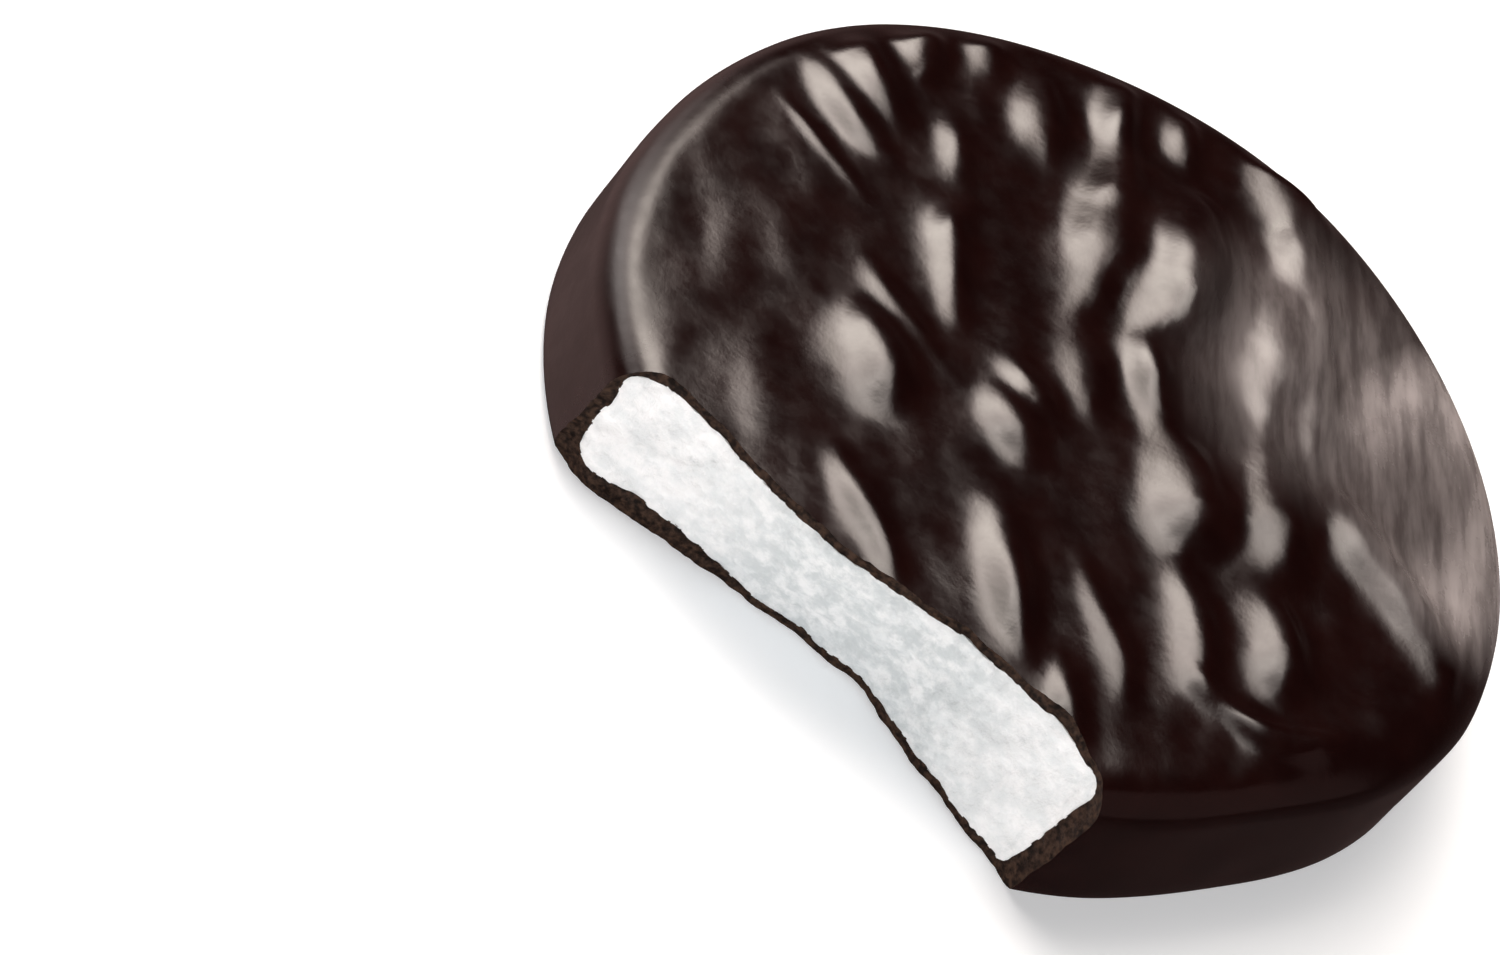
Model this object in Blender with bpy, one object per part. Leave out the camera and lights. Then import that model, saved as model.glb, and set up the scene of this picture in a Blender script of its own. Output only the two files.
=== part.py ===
"""A peppermint patty: a rippled disc of dark chocolate round a mint filling, bitten once at its edge.

Sizes below are millimetres, and the finished meshes are in metres with +Z up. The origin is the
middle of the outline, on the flat bottom that the patty rests on. +X runs along the bite, which
opens towards -Y.
"""

import math

import bmesh
import bpy
from mathutils import Vector, noise

MM = 0.001
GAP = 0.3

# Outline from above: the radius in each twelfth of a turn, counted from +X towards +Y
OUTLINE_RADII = (31.7, 32.9, 33.3, 33.0, 32.0, 31.9, 31.6, 32.3, 32.1, 31.9, 30.5, 29.4)
MEAN_RADIUS = 32.0

# Section. A shoulder is given as its width, what the width gains towards +X, its drop and a power
# that is greater where it starts more gently. The wall's lean is given at the middle, with what it
# gains towards +X, and the top's grid ends a little inside the wall's top
SHOULDER_HEIGHT = 10.0
CROWN_RISE = 1.0
WEDGE_RISE = 0.9
COAT_SHOULDER = (3.4, 0.8, 1.7, 2.2)
MINT_SHOULDER = (0.9, 0.0, 0.9, 2.0)
EDGE_INSET = 0.8
WALL_LEAN = (0.9, -0.5)
LEAN_POWER = 1.5
BELLY_HEIGHT = 2.0
BASE_ROUNDING = 0.8
SHOULDER_ROWS = 3
WALL_ROWS = 3
BASE_ROWS = 2

# Thickness of the coat at the middle, with what it gains towards +X
TOP_COAT = (0.80, 0.0)
SIDE_COAT = (1.25, 0.60)
BASE_COAT = (1.0, -0.45)

# Ripples on the top: width and height of each ridge at its middle, then the points (x and y) that
# its steep left flank runs through, from the far end to the near one
RIDGES = (
    (6.0, 1.75, (-5.8, 22.0), (-3.4, 15.4), (-1.4, 9.4)),
    (3.8, 1.05, (-1.6, 10.6), (0.4, 6.0), (4.0, 1.6)),
    (4.2, 1.15, (4.2, 1.8), (6.8, -0.8), (10.0, -4.6)),
    (2.9, 0.80, (10.6, -6.2), (13.4, -9.2), (16.2, -13.4)),
    (3.0, 0.75, (-11.0, 21.6), (-8.6, 15.4), (-6.8, 10.4), (-5.0, 6.0)),
    (2.7, 0.60, (-4.4, 5.2), (-2.0, 1.6), (0.2, -1.2)),
    (2.9, 0.80, (-14.0, 27.6), (-10.8, 21.4)),
    (2.8, 0.75, (-17.2, 22.0), (-13.4, 15.2)),
    (2.4, 0.65, (-8.6, 29.0), (-6.2, 24.2)),
    (3.0, 0.80, (-22.6, 23.4), (-19.8, 18.6)),
    (4.0, 1.15, (-1.6, 30.4), (3.8, 25.8)),
    (3.8, 1.10, (2.0, 24.8), (6.8, 18.8)),
    (2.5, 0.70, (7.0, 20.4), (11.6, 11.6)),
    (3.8, 1.05, (3.6, 19.0), (7.8, 11.0)),
    (2.4, 0.50, (7.8, 11.4), (10.2, 5.0)),
    (4.8, 1.40, (8.8, 6.8), (11.6, 2.8), (15.2, -1.0)),
    (3.2, 0.90, (15.6, -2.8), (20.4, -9.0)),
    (3.6, 1.10, (14.6, 6.6), (17.4, 4.2), (20.8, 3.2), (24.8, 2.4), (28.0, 0.0)),
    (3.0, 0.70, (-28.6, 13.6), (-25.0, 10.0), (-21.0, 8.2)),
    (2.2, 0.45, (-28.0, 8.6), (-23.4, 6.4), (-19.8, 5.8)),
    (1.2, 0.25, (-26.4, 3.6), (-20.2, 1.5)),
    (3.6, 0.85, (-27.2, 20.6), (-22.6, 13.2)),
    (2.2, 0.50, (-18.8, 13.2), (-16.4, 8.4)),
    (2.5, 0.60, (-13.2, 8.6), (-15.0, 5.4), (-13.4, 2.4), (-10.0, -2.4)),
    (1.8, 0.40, (-16.8, -3.6), (-12.8, -5.4), (-9.6, -6.8)),
    (4.0, 1.05, (-14.8, -7.4), (-9.6, -12.8)),
    (3.6, 0.40, (-24.0, -1.6), (-19.0, -9.6)),
    (2.3, 0.55, (-5.4, -2.7), (-1.2, -4.4)),
    (2.7, 0.70, (-5.0, -5.9), (-0.4, -7.8)),
    (2.8, 0.85, (-0.8, -12.0), (3.0, -17.2), (6.8, -21.0)),
    (2.0, 0.45, (6.2, -11.4), (13.4, -17.6)),
    (2.3, 0.60, (-10.4, -18.1), (-5.4, -20.6), (-0.4, -23.8)),
    (2.2, 0.50, (8.6, -19.0), (12.4, -22.6)),
    (2.2, 0.60, (17.2, -12.2), (22.0, -12.0), (25.0, -9.8), (26.6, -6.6)),
    (3.6, 0.25, (-18.4, -14.4), (-14.6, -20.4)),
)
RIDGE_END_WIDTH = 0.70
RIDGE_END_HEIGHT = 0.35
RIDGE_STEP = 0.8
MOUND_LENGTH = 1.3
CREST_OFFSET = 0.46
LEFT_FLANK = 0.70
RIGHT_FLANK = 0.55
RIPPLE_EDGE = 2.8
RIPPLE_FADE = 2.0
WANDER = 0.45
WANDER_SIZE = 5.0

# The right far quarter of the top falls away towards its rim
FALL_HEADING = 31.5
FALL_SLOPE = 0.075
FALL_START = 19.0
FALL_BLEND = 1.5
FALL_FRONT = 2.5

# Bite: the line where it leaves the top and the line where it leaves the bottom, as x and y
BITE_TOP = (
    (-26.0, -27.0), (-21.6, -23.4), (-18.6, -21.7), (-13.0, -22.5), (-5.0, -23.2),
    (4.0, -21.9), (10.5, -21.8), (14.2, -22.5), (16.4, -24.0), (21.0, -29.0),
)
BITE_BOTTOM = (
    (-26.0, -26.0), (-22.0, -23.4), (-19.0, -23.8), (-11.0, -22.4), (1.0, -20.9),
    (7.0, -22.7), (12.0, -23.9), (16.6, -25.4), (21.0, -29.0),
)
BITE_TOP_HEIGHT = 9.8
CRAG_DEPTH = 0.30
CRAG_SIZE = 2.6
CRUMB_DEPTH = 0.10
CRUMB_SIZE = 1.0
CUTTER_CELL = 1.2
CUTTER_LOW = -1.5
CUTTER_HIGH = 13.5
CUTTER_BACK = -42.0

# Fineness: squares along each side of the grid that becomes a disc's top
SHELL_CELLS = 50
HOLLOW_CELLS = 22
FILLING_CELLS = 26

# Finish
CHOCOLATE_COLOUR = (0.022, 0.010, 0.008)
CHOCOLATE_ROUGHNESS = 0.3
MINT_COLOUR = (0.78, 0.82, 0.81)
MINT_ROUGHNESS = 0.7


def through_points(points, x):
    """Height at x of the smooth curve through points that are listed by rising x."""
    last = len(points) - 1
    i = 0
    while i < last - 1 and x > points[i + 1][0]:
        i += 1

    def slope(k):
        low = points[max(k - 1, 0)]
        high = points[min(k + 1, last)]
        return (high[1] - low[1]) / (high[0] - low[0])

    x0, y0 = points[i]
    x1, y1 = points[i + 1]
    span = x1 - x0
    t = min(max((x - x0) / span, 0.0), 1.0)
    rise = (2 * t**3 - 3 * t**2 + 1) * y0 + (3 * t**2 - 2 * t**3) * y1
    lean = (t**3 - 2 * t**2 + t) * slope(i) + (t**3 - t**2) * slope(i + 1)
    return rise + span * lean


TURN_STEP = math.tau / len(OUTLINE_RADII)
OUTLINE_CURVE = [
    (k * TURN_STEP, OUTLINE_RADII[k % len(OUTLINE_RADII)])
    for k in range(-2, len(OUTLINE_RADII) + 3)
]


def outline_radius(x, y):
    """Radius of the outline in the direction of a point."""
    return through_points(OUTLINE_CURVE, math.atan2(y, x) % math.tau)


def smooth_step(value):
    """0 below 0, 1 above 1, and a smooth rise between."""
    t = min(max(value, 0.0), 1.0)
    return t * t * (3 - 2 * t)


def ridge_stations(ridge):
    """Evenly spaced mounds along a ridge: each one's x, y, direction, width and height."""
    width, height, *points = ridge
    first = Vector(points[0])
    last = Vector(points[-1])
    knots = [2 * first - Vector(points[1]), *map(Vector, points), 2 * last - Vector(points[-2])]
    line = []
    for before, start, end, after in zip(knots, knots[1:], knots[2:], knots[3:]):
        pieces = max(1, round((end - start).length / RIDGE_STEP))
        for piece in range(pieces):
            t = piece / pieces
            bend = (2 * before - 5 * start + 4 * end - after) * t**2
            twist = (3 * start - before - 3 * end + after) * t**3
            line.append((2 * start + (end - before) * t + bend + twist) / 2)
    line.append(last)

    stations = []
    for i, spot in enumerate(line):
        along = (line[min(i + 1, len(line) - 1)] - line[max(i - 1, 0)]).normalized()
        middle = math.sin(math.pi * i / (len(line) - 1))
        wide = width * (RIDGE_END_WIDTH + (1 - RIDGE_END_WIDTH) * middle)
        high = height * (RIDGE_END_HEIGHT + (1 - RIDGE_END_HEIGHT) * middle)
        stations.append((spot.x, spot.y, along.x, along.y, wide, high))
    return stations


STATIONS = [station for ridge in RIDGES for station in ridge_stations(ridge)]
MOUND_SHARE = RIDGE_STEP / (math.sqrt(math.pi) * MOUND_LENGTH)


def ripple_height(x, y):
    """Height that the ripples add at a point of the top."""
    here = Vector((x, y, 0.0)) / WANDER_SIZE
    x += WANDER * noise.noise(here)
    y += WANDER * noise.noise(here + Vector((0.0, 0.0, 9.5)))
    total = 0.0
    for middle_x, middle_y, along_x, along_y, width, height in STATIONS:
        off_x = x - middle_x
        off_y = y - middle_y
        run = (off_x * along_x + off_y * along_y) / MOUND_LENGTH
        across = off_y * along_x - off_x * along_y - CREST_OFFSET * width
        flank = LEFT_FLANK if across < 0 else RIGHT_FLANK
        total += height * MOUND_SHARE * math.exp(-(run**2) - (across / (flank * width)) ** 2)
    return total


def quarter_fall(x, y):
    """How far the right far quarter of the top falls away at a point."""
    heading = math.radians(FALL_HEADING)
    out = (x * math.cos(heading) + y * math.sin(heading) - FALL_START) / FALL_BLEND
    depth = FALL_SLOPE * FALL_BLEND * math.log1p(math.exp(out))
    return depth / (1 + math.exp(-y / FALL_FRONT))


def top_height(x, y, rippled):
    """Height of the chocolate's top, without its rounded shoulder."""
    rim = outline_radius(x, y)
    reach = math.hypot(x, y)
    dome = SHOULDER_HEIGHT + CROWN_RISE * (1 - (reach / rim) ** 2) + WEDGE_RISE * x / rim
    dome -= quarter_fall(x, y)
    if not rippled:
        return dome
    inside = (rim - RIPPLE_EDGE - reach) / RIPPLE_FADE
    return dome + ripple_height(x, y) * smooth_step(inside + 0.5)


def varied(size, across):
    """A size that is given at the middle, with what it gains towards +X, at a place across."""
    middle, gain = size
    return middle + gain * across


def shoulder_drop(inset, u, shoulder):
    """How far the rounded shoulder has dropped at an inset from the outline."""
    width, gain, drop, power = shoulder
    out = 1 - (inset - varied(WALL_LEAN, u)) / (width + gain * u)
    out = min(max(out, 0.0), 1.0)
    return drop * (1 - math.sqrt(1 - out**power))


def bite_surface(x, z):
    """How far back (y) the bite reaches at a point of its face."""
    t = smooth_step(z / BITE_TOP_HEIGHT)
    y = (1 - t) * through_points(BITE_BOTTOM, x) + t * through_points(BITE_TOP, x)
    crags = CRAG_DEPTH * noise.noise(Vector((x, 0.0, z)) / CRAG_SIZE)
    crumbs = CRUMB_DEPTH * noise.noise(Vector((x, 5.0, z)) / CRUMB_SIZE)
    return y + crags + crumbs


def square_to_disc(u, v):
    """Point of the unit disc for a point of the square from -1 to 1, its rings kept even."""
    if u == 0 and v == 0:
        return 0.0, 0.0
    if abs(u) > abs(v):
        angle = math.pi / 4 * v / u
        return u * math.cos(angle), u * math.sin(angle)
    angle = math.pi / 4 * u / v
    return v * math.sin(angle), v * math.cos(angle)


def section_rows(height, u, shoulder):
    """Inset and height of each row of the wall, from below the top's edge to the flat bottom."""
    lean = varied(WALL_LEAN, u)
    rows = []
    for row in range(1, SHOULDER_ROWS + 1):
        inset = lean + EDGE_INSET * (1 - math.sin(math.pi / 2 * row / SHOULDER_ROWS))
        rows.append((inset, height - shoulder_drop(inset, u, shoulder)))
    wall_top = height - shoulder[2]
    for row in range(1, WALL_ROWS + 1):
        z = wall_top + (BASE_ROUNDING - wall_top) * row / WALL_ROWS
        rise = max((z - BELLY_HEIGHT) / (wall_top - BELLY_HEIGHT), 0.0)
        rows.append((lean * rise**LEAN_POWER, z))
    for row in range(1, BASE_ROWS + 1):
        turn = math.pi / 2 * row / BASE_ROWS
        inset = BASE_ROUNDING * (1 - math.cos(turn))
        rows.append((inset, BASE_ROUNDING * (1 - math.sin(turn))))
    return rows


def disc_mesh(name, cells, inner=False, gap=0.0):
    """Closed disc: the patty's outside, or the room for its filling less a gap all round."""
    bm = bmesh.new()
    bmesh.ops.create_grid(bm, x_segments=cells, y_segments=cells, size=1.0)
    for vertex in bm.verts:
        u, v = square_to_disc(vertex.co.x, vertex.co.y)
        vertex.co = top_point(u, v, inner, gap)

    edge = [e for e in bm.edges if e.is_boundary]
    for row in range(SHOULDER_ROWS + WALL_ROWS + BASE_ROWS):
        grown = bmesh.ops.extrude_edge_only(bm, edges=edge)["geom"]
        edge = [g for g in grown if isinstance(g, bmesh.types.BMEdge) and g.is_boundary]
        for vertex in {v for e in edge for v in e.verts}:
            away = Vector((vertex.co.x, vertex.co.y)).normalized()
            vertex.co = wall_point(away.x, away.y, row, inner, gap)
    bmesh.ops.contextual_create(bm, geom=edge)
    return finished_mesh(bm, name)


def inside_by(size, across, inner, gap):
    """How far a disc lies inside the chocolate's outside."""
    return varied(size, across) + gap if inner else 0.0


def grid_edge(u, v, inner, gap):
    """How far out the grid of a disc's top reaches in a direction."""
    side = inside_by(SIDE_COAT, u, inner, gap)
    return outline_radius(u, v) - varied(WALL_LEAN, u) - EDGE_INSET - side


def top_point(u, v, inner, gap):
    """Point of a disc's top for a point of the unit disc."""
    reach = grid_edge(u, v, inner, gap)
    x = u * reach
    y = v * reach
    side = inside_by(SIDE_COAT, u, inner, gap)
    inset = outline_radius(u, v) - side - math.hypot(x, y)
    drop = shoulder_drop(inset, u, MINT_SHOULDER if inner else COAT_SHOULDER)
    return x, y, top_height(x, y, not inner) - inside_by(TOP_COAT, u, inner, gap) - drop


def wall_point(u, v, row, inner, gap):
    """Point of one row of a disc's wall, in a direction."""
    reach = grid_edge(u, v, inner, gap)
    height = top_height(u * reach, v * reach, not inner)
    inset, z = section_rows(height, u, MINT_SHOULDER if inner else COAT_SHOULDER)[row]
    out = outline_radius(u, v) - inset - inside_by(SIDE_COAT, u, inner, gap)
    top = inside_by(TOP_COAT, u, inner, gap)
    base = inside_by(BASE_COAT, u * out / MEAN_RADIUS, inner, gap)
    return u * out, v * out, base + z * (height - top - base) / height


def bite_mesh(name):
    """Closed block whose near-vertical front is the face that the bite leaves."""
    low_x = BITE_TOP[0][0]
    high_x = BITE_TOP[-1][0]
    width = high_x - low_x
    height = CUTTER_HIGH - CUTTER_LOW
    bm = bmesh.new()
    bmesh.ops.create_grid(
        bm,
        x_segments=round(width / CUTTER_CELL),
        y_segments=round(height / CUTTER_CELL),
        size=0.5,
    )
    for vertex in bm.verts:
        x = low_x + (vertex.co.x + 0.5) * width
        z = CUTTER_LOW + (vertex.co.y + 0.5) * height
        vertex.co = (x, bite_surface(x, z), z)
    grown = bmesh.ops.extrude_face_region(bm, geom=list(bm.faces))["geom"]
    for vertex in (g for g in grown if isinstance(g, bmesh.types.BMVert)):
        vertex.co.y = CUTTER_BACK
    return finished_mesh(bm, name)


def finished_mesh(bm, name):
    """Mesh data in metres, its faces turned outwards."""
    bmesh.ops.recalc_face_normals(bm, faces=bm.faces)
    bmesh.ops.scale(bm, vec=Vector((MM, MM, MM)), verts=bm.verts)
    mesh = bpy.data.meshes.new(name)
    bm.to_mesh(mesh)
    bm.free()
    mesh.shade_smooth()
    return mesh


def add_object(mesh, collection, material=None):
    """Object with the mesh's name, in a collection."""
    obj = bpy.data.objects.new(mesh.name, mesh)
    collection.objects.link(obj)
    if material:
        mesh.materials.append(material)
    return obj


def add_cutter(mesh, collection):
    """Object that only shapes others, drawn as wire."""
    obj = add_object(mesh, collection)
    obj.hide_render = True
    obj.display_type = "WIRE"
    return obj


def cut(obj, cutter):
    """Take a cutter's form out of an object."""
    modifier = obj.modifiers.new(f"Cut {cutter.name}", "BOOLEAN")
    modifier.operation = "DIFFERENCE"
    modifier.solver = "EXACT"
    modifier.object = cutter


def make_material(name, colour, roughness):
    """Opaque material of one colour (linear red, green and blue)."""
    material = bpy.data.materials.new(name)
    material.use_nodes = True
    shader = material.node_tree.nodes["Principled BSDF"]
    shader.inputs["Base Color"].default_value = (*colour, 1.0)
    shader.inputs["Roughness"].default_value = roughness
    shader.inputs["Metallic"].default_value = 0.0
    return material


def new_collection(name):
    """Collection in the scene."""
    collection = bpy.data.collections.new(name)
    bpy.context.scene.collection.children.link(collection)
    return collection


def main():
    """Build the patty."""
    for old in list(bpy.data.objects):
        bpy.data.objects.remove(old, do_unlink=True)

    patty = new_collection("Peppermint patty")
    cutters = new_collection("Cutters")

    bite = add_cutter(bite_mesh("bite"), cutters)
    hollow = add_cutter(disc_mesh("hollow", HOLLOW_CELLS, inner=True), cutters)

    chocolate = make_material("Dark chocolate", CHOCOLATE_COLOUR, CHOCOLATE_ROUGHNESS)
    shell = add_object(disc_mesh("chocolate_shell", SHELL_CELLS), patty, chocolate)
    cut(shell, hollow)
    cut(shell, bite)

    filling_mesh = disc_mesh("mint_filling", FILLING_CELLS, inner=True, gap=GAP)
    mint = make_material("Mint filling", MINT_COLOUR, MINT_ROUGHNESS)
    filling = add_object(filling_mesh, patty, mint)
    cut(filling, bite)


main()
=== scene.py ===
"""Looks of a peppermint patty: a rippled coat of dark chocolate round a white mint filling.

Sizes below are millimetres unless a name says otherwise, and the finished meshes are in metres. The
patty lies flat on its bottom with +Z up, and the bite at its edge opens towards -Y.
"""

import math

import bmesh
import bpy
import numpy as np
from mathutils import Matrix, Quaternion, Vector, noise


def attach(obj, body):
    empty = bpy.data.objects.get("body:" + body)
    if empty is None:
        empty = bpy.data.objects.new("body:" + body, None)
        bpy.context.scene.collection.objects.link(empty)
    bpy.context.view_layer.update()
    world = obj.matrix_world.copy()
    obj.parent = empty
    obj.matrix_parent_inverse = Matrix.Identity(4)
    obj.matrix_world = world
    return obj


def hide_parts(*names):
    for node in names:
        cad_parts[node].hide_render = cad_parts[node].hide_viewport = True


MM = 0.001

# Outline from above: the radius in each twelfth of a turn, counted from +X towards +Y
OUTLINE_RADII = (31.7, 32.9, 33.3, 33.0, 32.0, 31.9, 31.6, 32.3, 32.1, 31.9, 30.5, 29.4)

# Section of the chocolate and of the filling inside it: the top's height at its rim, and what it rises
# by in the middle and towards +X. A shoulder is given as its width, what the width gains towards +X,
# its drop and a power that is greater where it starts more gently. The mesh of the top ends
# EDGE_INSET within the wall's top, and the wall leans in by WALL_LEAN above its belly. The coat's
# thickness at its side is given at the middle, with what it gains towards +X
SHOULDER_HEIGHT = 10.0
CROWN_RISE = 1.0
WEDGE_RISE = 0.9
COAT_SHOULDER = (3.2, 0.6, 2.4, 2.4)
MINT_SHOULDER = (0.9, 0.0, 0.9, 2.0)
EDGE_INSET = 0.8
WALL_LEAN = 0.1
LEAN_POWER = 1.5
BELLY_HEIGHT = 2.0
BASE_ROUNDING = 0.8
TOP_COAT = 0.70
SIDE_COAT = (1.25, 0.60)

# Thickness of the coat under the filling, as points of x and thickness
BASE_COAT = (
    (-33.0, 1.3), (-20.0, 1.3), (-15.5, 1.7), (-11.5, 1.4), (-8.5, 0.75),
    (-3.0, 0.6), (2.0, 0.75), (14.0, 0.7), (33.0, 0.7),
)

# Ripples on the top: width and height of each ridge at its middle, then the points (x and y) that
# its left flank runs through, from the far end to the near one
RIDGES = (
    (5.9, 2.05, (-5.0, 22.0), (-2.6, 15.4), (-0.6, 9.6)),
    (3.0, 0.90, (-0.8, 9.8), (1.0, 5.6), (4.2, 1.8)),
    (4.8, 1.42, (4.6, 1.8), (7.4, -1.0), (10.2, -4.6)),
    (2.9, 0.80, (10.6, -6.2), (13.4, -9.2), (16.2, -13.4)),
    (3.4, 0.96, (-11.4, 24.0), (-8.2, 16.0), (-6.2, 10.6), (-4.6, 6.0)),
    (2.7, 0.60, (-4.4, 5.2), (-2.0, 1.6), (0.2, -1.2)),
    (2.9, 0.80, (-14.0, 27.6), (-10.8, 21.4)),
    (2.8, 0.75, (-17.2, 22.0), (-13.4, 15.2)),
    (2.4, 0.65, (-8.6, 29.0), (-6.2, 24.2)),
    (3.0, 0.80, (-22.6, 23.4), (-19.8, 18.6)),
    (4.2, 1.15, (-2.4, 30.4), (1.4, 27.6), (5.0, 24.2)),
    (3.8, 1.20, (2.4, 25.6), (5.0, 21.8), (7.6, 17.6)),
    (2.8, 0.80, (6.6, 21.0), (9.4, 15.6), (12.2, 10.4)),
    (4.0, 1.25, (3.4, 19.4), (5.8, 14.8), (8.4, 10.4)),
    (2.4, 0.50, (8.4, 11.0), (10.6, 6.4)),
    (4.2, 1.24, (9.6, 7.0), (12.4, 3.0), (15.8, -1.2)),
    (3.4, 1.00, (15.8, -2.8), (20.4, -9.0)),
    (3.8, 1.25, (14.6, 7.6), (18.0, 6.2), (22.0, 5.0), (26.0, 3.8), (29.4, 1.8)),
    (3.6, 0.90, (-28.4, 13.0), (-25.0, 9.8), (-21.2, 7.4)),
    (2.2, 0.45, (-28.0, 8.2), (-23.4, 6.0), (-19.8, 5.2)),
    (1.2, 0.25, (-26.4, 3.6), (-20.2, 1.5)),
    (3.8, 1.00, (-27.2, 20.2), (-22.8, 12.8)),
    (2.2, 0.50, (-18.8, 13.2), (-16.4, 8.4)),
    (2.5, 0.58, (-14.6, 7.4), (-14.6, 4.8), (-12.8, 1.6), (-10.0, -2.6)),
    (1.9, 0.45, (-15.6, -3.4), (-12.2, -5.4), (-8.6, -6.6)),
    (4.0, 1.10, (-14.8, -7.4), (-9.6, -12.8)),
    (2.8, 0.15, (-23.2, -3.4), (-19.8, -8.4)),
    (2.8, 0.85, (-5.4, -2.5), (-1.0, -4.4)),
    (3.0, 0.80, (-5.0, -5.9), (-0.4, -7.8)),
    (2.8, 0.78, (-0.8, -12.0), (3.0, -17.2), (6.8, -21.0)),
    (2.0, 0.45, (6.2, -11.4), (13.4, -17.6)),
    (2.1, 0.48, (-9.6, -18.2), (-5.4, -20.4), (-1.4, -23.0)),
    (2.2, 0.50, (8.6, -19.0), (12.4, -22.6)),
    (2.2, 0.60, (16.8, -12.8), (21.6, -12.4), (25.0, -10.0), (26.6, -6.6)),
    (3.6, 0.25, (-18.4, -14.4), (-14.6, -20.4)),
)

# Form of every ridge, as shares of its own sizes: its width and height at its ends, how far its crest
# lies right of its points, and how wide its flanks are. It is a row of mounds, a step apart. The
# ripples fade out in a band that lies RIPPLE_EDGE inside the rim, and noise makes their lines wander
RIDGE_END_WIDTH = 0.70
RIDGE_END_HEIGHT = 0.35
CREST_OFFSET = 0.46
LEFT_FLANK = 0.70
RIGHT_FLANK = 0.50
RIDGE_STEP = 0.8
MOUND_LENGTH = 1.3
RIPPLE_EDGE = 2.3
RIPPLE_FADE = 2.0
WANDER = 0.45
WANDER_SIZE = 5.0

# The right far quarter of the top falls away towards its rim: the heading it falls in, its slope,
# how far out it starts, and how softly it sets in outwards and towards the far side
FALL_HEADING = 31.5
FALL_SLOPE = 0.075
FALL_START = 19.0
FALL_BLEND = 1.5
FALL_FRONT = 2.5

# Bite: the line where it leaves the top, which lies at BITE_TOP_HEIGHT, the line where it leaves the
# bottom, both as x and y, and how far the block that cuts it out reaches back, down and up
BITE_TOP = (
    (-26.0, -27.0), (-21.6, -23.4), (-18.6, -21.7), (-13.0, -22.5), (-5.0, -23.2),
    (4.0, -21.9), (10.5, -21.8), (14.2, -22.5), (16.4, -24.0), (21.0, -29.0),
)
BITE_BOTTOM = (
    (-26.0, -26.0), (-22.0, -23.4), (-19.0, -23.8), (-11.0, -22.4), (1.0, -20.9),
    (7.0, -22.7), (12.0, -23.9), (16.6, -25.4), (21.0, -29.0),
)
BITE_TOP_HEIGHT = 9.8
BITE_BACK = -42.0
BITE_LOW = -1.5
BITE_HIGH = 13.5

# Relief, as depth and size: soft swells, fine grain and streaks of the coat, crags of the bitten
# faces, and the uneven thickness of the coat under the filling. The steps and slices are places in
# the noise that keep the kinds and their layers from repeating each other
COAT_SWELL = (0.04, 4.0)
COAT_GRAIN = (0.008, 1.6)
STREAKS = (0.11, 2.4)
STREAK_LENGTH = 3.0
STREAK_HEADING = -62.0
WALL_SWELL = (0.10, 5.0)
BITE_CRAGS = ((0.30, 2.6), (0.10, 1.0))
COAT_BREAK = ((0.08, 0.8), (0.06, 0.35))
MINT_CRUMB = ((0.14, 1.1), (0.10, 0.55), (0.07, 0.28))
BASE_CRAGS = (0.16, 1.3)
LAYER_STEP = 31.0
WANDER_SLICE = 47.5
STREAK_SLICE = 40.0
CRAG_STEP = 5.0
BREAK_SLICE = 60.0
BASE_SLICE = 70.0

# Fineness of the meshes: cells across a disc, its rows on the shoulder, the wall and the rounded base,
# and the cell of the bite. The filling is grown into the coat by the overlap
COAT_CELLS = 216
COAT_ROWS = (7, 8, 4)
MINT_CELLS = 110
MINT_ROWS = (4, 6, 3)
BITE_CELL = 0.17
MINT_OVERLAP = 0.06

# Points this close on the unit square are one, edges that turn by more than these degrees are sharp,
# and the table reaches this far from its middle
MERGE_DISTANCE = 0.0001
COAT_SHARP_ANGLE = 38.0
MINT_SHARP_ANGLE = 50.0
TABLE_REACH = 1500.0

# Colours of the chocolate's skin and of the grey bloom that paints its sheen, of its broken edge,
# of the fondant and of the painted shade in its middle, and of the table
DEEP_BROWN = (0.0062, 0.0013, 0.0012)
WARM_BROWN = (0.0095, 0.0024, 0.0021)
# Painted sheen: this grey stands in for the sheen on the right far quarter of the top
SHEEN_AND_BLOOM_GREY = (0.40, 0.365, 0.362)
BREAK_DARK = (0.006, 0.0025, 0.0015)
BREAK_BROWN = (0.058, 0.030, 0.018)
FONDANT_WHITE = (0.93, 0.93, 0.93)
FONDANT_DIM = (0.81, 0.83, 0.835)
# Painted shade: this grey darkens the middle of the bitten fondant
FONDANT_SHADE_GREY = (0.52, 0.56, 0.57)
TABLE_COLOUR = (0.82, 0.86, 0.89, 1.0)

# Ovals of the plan, as middle, half width and half depth, and softness: the grey bloom patch that
# paints the sheen, a faint painted sheen beside it and a dimmer place in it, the softer gloss on the
# left, which stays outside the disc inside the rim, and the painted shade in the middle of the bitten
# fondant. The painted sheen fades out between two heights
SHEEN_AND_BLOOM_OVAL = ((22.6, 18.6), (10.2, 12.6), 0.30)
FAINT_SHEEN_OVAL = ((10.0, 18.0), (8.0, 10.0), 0.6)
DIM_SHEEN_OVAL = ((19.8, 14.0), (4.8, 7.0), 0.7)
SOFT_OVAL = ((-29.0, -13.0), (9.0, 16.0), 0.4)
INSIDE_RIM = ((0.0, 0.0), (29.2, 29.2), 0.04)
MIDDLE_SHADE_OVAL = ((-1.0, -22.0), (10.5, 8.0), 0.6)
SHEEN_AND_BLOOM_FADE = (5.0, 8.5)

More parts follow.
